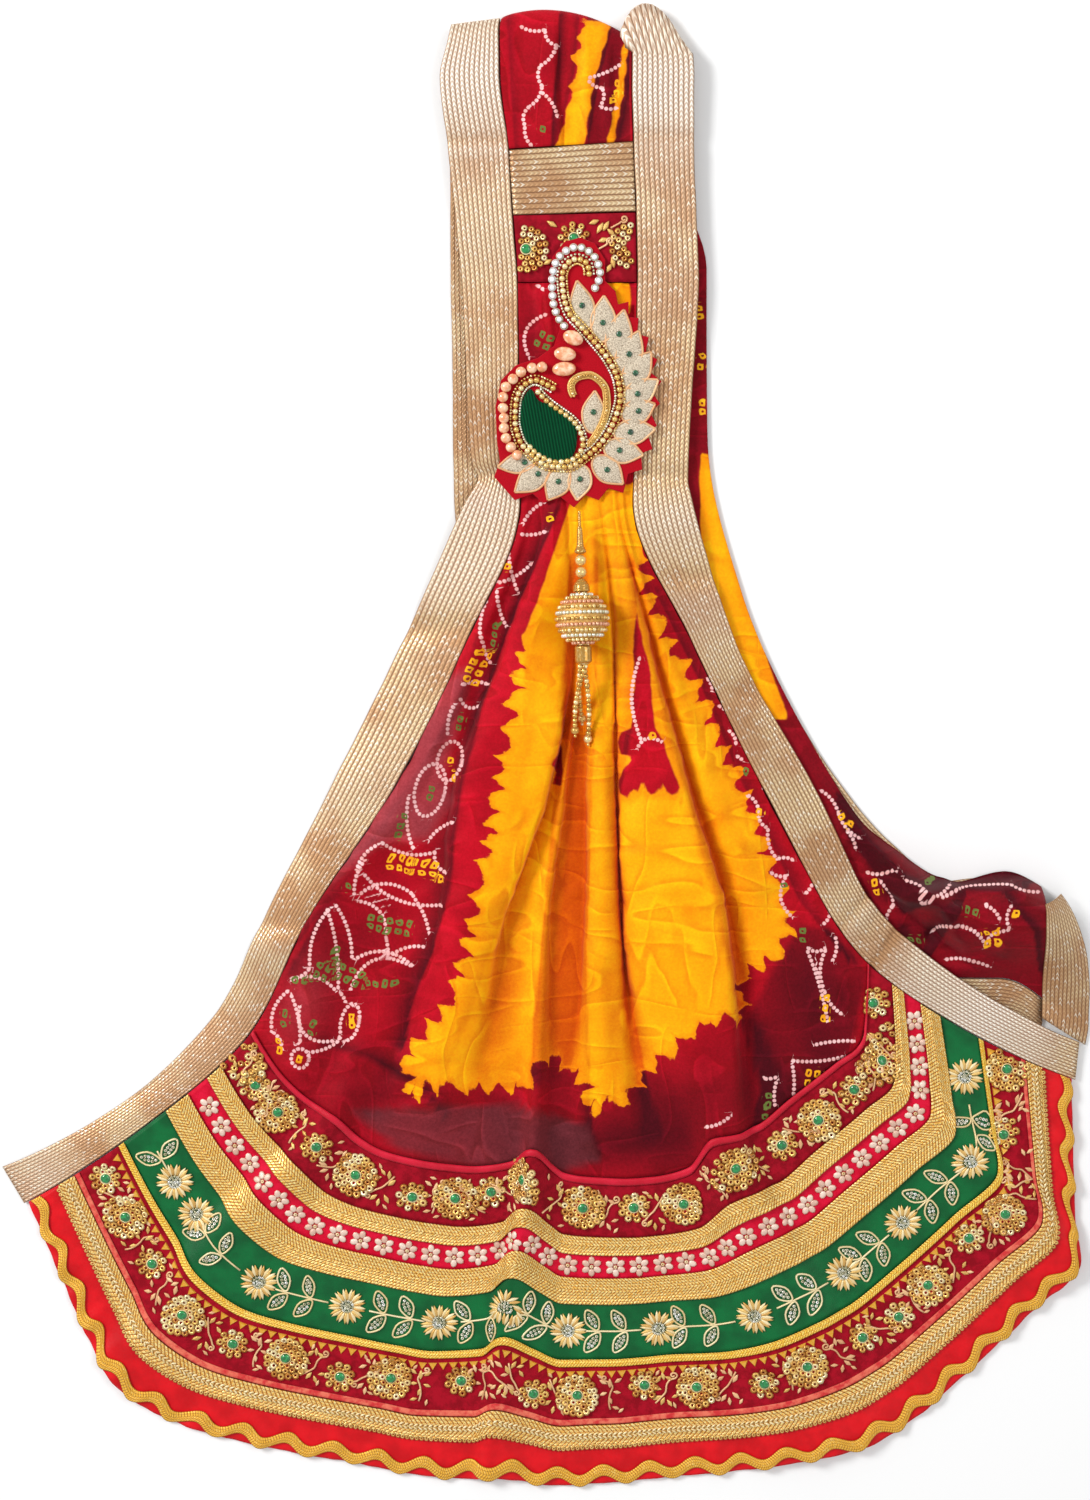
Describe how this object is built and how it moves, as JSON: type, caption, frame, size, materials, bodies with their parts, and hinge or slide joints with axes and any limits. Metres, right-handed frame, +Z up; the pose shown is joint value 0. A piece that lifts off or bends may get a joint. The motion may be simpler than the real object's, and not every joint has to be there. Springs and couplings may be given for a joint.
{
  "type": "embroidered dupatta",
  "caption": "Long pleated scarf laid folded double, with metallic ribbon edges, a tied-and-dyed body, laced embroidered border bands, a peacock patch and a ball tassel.",
  "frame": {"origin": "centre of the plan outline, on the surface the cloth lies on", "axes": "+Y from the hem up to the top fold, +X to the right in the picture, +Z up from the surface towards the camera"},
  "size_m": [0.7802, 1.0533, 0.0517],
  "materials": {
    "cloth": "sheer printed georgette",
    "back": "sheer printed georgette",
    "maroon": "matt, embroidered",
    "piping": "satin",
    "gold": "metallic thread",
    "pink": "woven ribbon",
    "green": "satin, embroidered",
    "yellow": "woven ribbon",
    "satin": "satin",
    "ribbon": "metallic braid",
    "felt": "felt",
    "velvet": "velvet",
    "beads": "plated beads"
  },
  "bodies": {
    "root": {"front_cloth": "cloth", "back_cloth": "back", "seam_piping": "piping", "inner_embroidered_band": "maroon", "gold_lace_inner": "gold", "flower_lace": "pink", "gold_lace_middle": "gold", "sunflower_band": "green", "zigzag_lace": "yellow", "outer_embroidered_band": "maroon", "edging_tape": "pink", "gold_lace_outer": "gold", "satin_flounce": "satin", "rickrack_braid": "yellow", "yoke_band": "maroon", "crossbar_ribbon": "ribbon", "side_ribbon_left": "ribbon", "side_ribbon_right": "ribbon", "end_ribbon": "ribbon", "patch_felt": "felt", "patch_paisley": "velvet", "tassel_cap": "gold", "tassel_bead_upper": "beads", "tassel_bead_lower": "beads", "tassel_bell": "gold", "tassel_ball": "beads", "tassel_fringe": "beads"}
  },
  "joints": []
}
